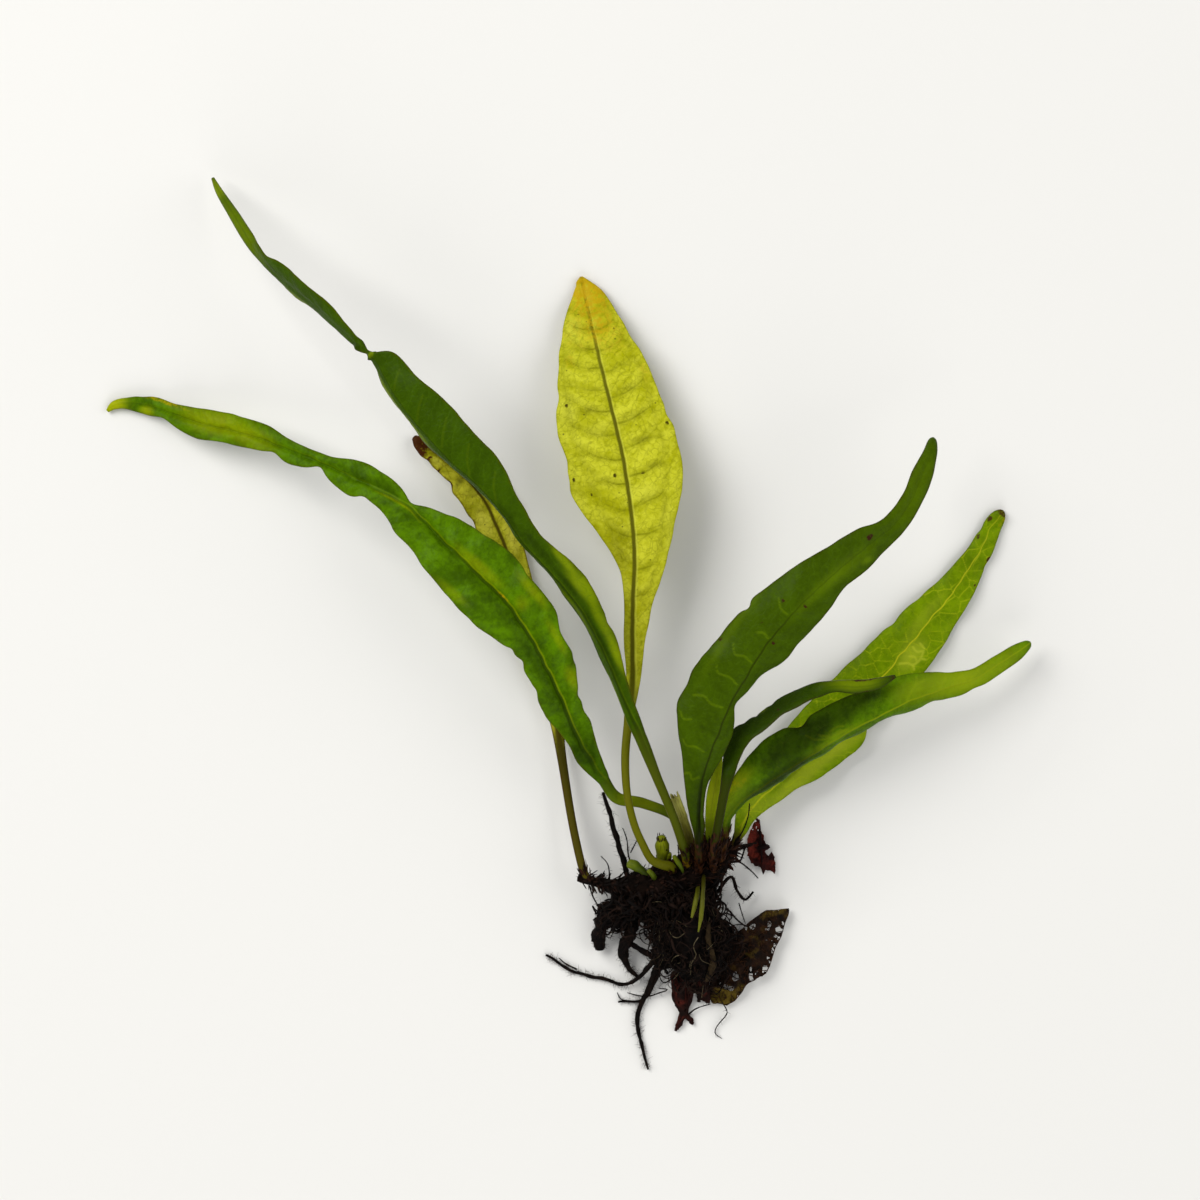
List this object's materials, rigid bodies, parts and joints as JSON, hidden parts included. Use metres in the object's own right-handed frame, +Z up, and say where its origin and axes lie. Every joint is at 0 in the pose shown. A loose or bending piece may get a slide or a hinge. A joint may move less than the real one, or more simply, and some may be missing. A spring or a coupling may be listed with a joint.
{
  "type": "java fern",
  "caption": "Bare-root java fern lying on a flat surface, with long leathery fronds fanning out from a scaly rhizome and a tangle of dark roots.",
  "frame": {"origin": "on the surface that the plant lies on, under the middle of the plant's box", "axes": "+Z up from that surface, +Y from the roots towards the frond tips, +X across the plant to the right, seen from above"},
  "size_m": [0.1567, 0.1514, 0.0291],
  "materials": {
    "yellow_leaf": "semi-gloss yellow-green leaf with puckered panels between darker veins",
    "green_leaf": "semi-gloss leathery green leaf",
    "lime_leaf": "semi-gloss lime green leaf with a light vein net",
    "old_leaf": "satin yellow leaf that browns at its tip",
    "pale_stalk": "satin pale green stalk",
    "rhizome": "matte dark brown scales",
    "roots": "matte black-brown fibrous roots",
    "dead_leaf": "matte dark red-brown withered leaf",
    "skeleton_leaf": "matte brown lacy leaf skeleton"
  },
  "bodies": {
    "root": {"yellow_frond": "yellow_leaf", "left_frond": "green_leaf", "bent_frond": "green_leaf", "old_frond": "old_leaf", "tall_right_frond": "green_leaf", "veined_frond": "lime_leaf", "folded_frond": "green_leaf", "twisted_frond": "green_leaf", "young_frond": "lime_leaf", "rhizome": "rhizome", "bud": "lime_leaf", "cut_stalk": "pale_stalk", "pale_stub": "pale_stalk", "small_stub": "pale_stalk", "pointed_stub": "pale_stalk", "long_green_tip": "lime_leaf", "short_green_tip": "lime_leaf", "root_mass": "roots", "dead_leaf": "dead_leaf", "skeleton_leaf": "skeleton_leaf", "withered_scrap": "dead_leaf"}
  },
  "joints": []
}
